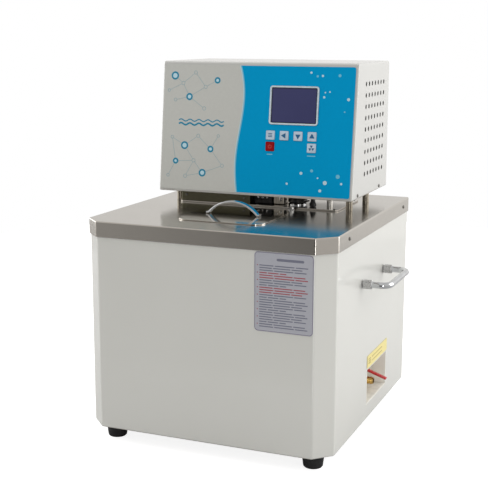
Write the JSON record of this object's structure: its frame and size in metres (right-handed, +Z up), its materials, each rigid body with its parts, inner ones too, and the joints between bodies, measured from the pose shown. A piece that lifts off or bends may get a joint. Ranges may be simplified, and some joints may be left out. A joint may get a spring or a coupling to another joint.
{
  "type": "water bath",
  "caption": "Circulating laboratory water bath: white case with a steel deck and tank, lift-off lid, control head on posts, side handles and a drain valve.",
  "frame": {"origin": "centre of the bounding box's bottom, on the bench under the rubber feet", "axes": "+Z up, -Y towards the user at the front, +X towards the drain side"},
  "size_m": [0.452, 0.39, 0.5365],
  "materials": {
    "white_paint": "satin powder coat",
    "stainless": "fine brushed, nearly mirror",
    "chrome": "polished",
    "black_plastic": "moulded",
    "black_rubber": "matte",
    "brass": "turned",
    "red_plastic": "satin",
    "blue_overlay": "satin printed film",
    "white_plastic": "moulded",
    "display_glass": "polished",
    "key_plastic": "satin",
    "board": "circuit board",
    "foam": "cut foam",
    "grey_label": "printed film",
    "yellow_label": "printed film"
  },
  "bodies": {
    "base": {"outer_case": "white_paint", "rear_panel": "white_paint", "drain_recess": "white_paint", "head_shell": "white_paint", "head_rear_panel": "white_paint", "base_pan": "stainless", "top_deck": "stainless", "inner_tank": "stainless", "bridge_plate": "stainless", "well_cover": "stainless", "pump_bracket": "stainless", "heater_coil": "stainless", "temperature_probe": "stainless", "pump_column": "stainless", "pump_housing": "stainless", "outlet_pipe": "stainless", "return_pipe": "stainless", "head_base_plate": "stainless", "drain_pipe": "stainless", "side_handle_left": "chrome", "side_handle_right": "chrome", "handle_collar_left_front": "chrome", "handle_collar_left_rear": "chrome", "handle_collar_right_front": "chrome", "handle_collar_right_rear": "chrome", "head_post_front_left": "chrome", "head_post_front_right": "chrome", "head_post_rear_left": "chrome", "head_post_rear_right": "chrome", "earth_stud": "chrome", "heater_terminal_block": "black_plastic", "probe_gland": "black_plastic", "pump_motor": "black_plastic", "mains_inlet": "black_plastic", "earth_wire": "black_plastic", "foot_front_left": "black_rubber", "foot_front_right": "black_rubber", "foot_rear_left": "black_rubber", "foot_rear_right": "black_rubber", "drain_valve_body": "brass", "front_overlay": "blue_overlay", "display_bezel": "white_plastic", "display_window": "display_glass", "control_board": "board", "tank_insulation": "foam", "front_label": "grey_label", "drain_label": "yellow_label"},
    "lid_body": {"lid": "stainless", "lid_handle": "chrome"},
    "pump_rotor": {"pump_shaft": "stainless", "impeller": "black_plastic", "shaft_coupling": "black_plastic"},
    "drain_handle": {"drain_lever": "red_plastic", "drain_valve_stem": "brass"},
    "set_key_body": {"set_key": "key_plastic"},
    "shift_key_body": {"shift_key": "key_plastic"},
    "down_key_body": {"down_key": "key_plastic"},
    "up_key_body": {"up_key": "key_plastic"},
    "power_key_body": {"power_key": "red_plastic"},
    "circulation_key_body": {"circulation_key": "key_plastic"}
  },
  "joints": [
    {"name": "lid_lift", "type": "slide", "parent": "base", "child": "lid_body", "axis": [0, 0, 1], "range_m": [0, 0.08]},
    {"name": "pump_spin", "type": "hinge", "parent": "base", "child": "pump_rotor", "pos_m": [0.051, 0.045, 0.3], "axis": [0, 0, 1], "continuous": true},
    {"name": "drain_lever_turn", "type": "hinge", "parent": "base", "child": "drain_handle", "pos_m": [0.15, 0.05, 0.075], "axis": [0, 0, -1], "range_deg": [0, 90]},
    {"name": "set_key_press", "type": "slide", "parent": "base", "child": "set_key_body", "axis": [0, 0.9936, -0.1127], "range_m": [0, 0.0006], "stiffness_N_per_m": 800},
    {"name": "shift_key_press", "type": "slide", "parent": "base", "child": "shift_key_body", "axis": [0, 0.9936, -0.1127], "range_m": [0, 0.0006], "stiffness_N_per_m": 800},
    {"name": "down_key_press", "type": "slide", "parent": "base", "child": "down_key_body", "axis": [0, 0.9936, -0.1127], "range_m": [0, 0.0006], "stiffness_N_per_m": 800},
    {"name": "up_key_press", "type": "slide", "parent": "base", "child": "up_key_body", "axis": [0, 0.9936, -0.1127], "range_m": [0, 0.0006], "stiffness_N_per_m": 800},
    {"name": "power_key_press", "type": "slide", "parent": "base", "child": "power_key_body", "axis": [0, 0.9936, -0.1127], "range_m": [0, 0.0006], "stiffness_N_per_m": 800},
    {"name": "circulation_key_press", "type": "slide", "parent": "base", "child": "circulation_key_body", "axis": [0, 0.9936, -0.1127], "range_m": [0, 0.0006], "stiffness_N_per_m": 800}
  ]
}
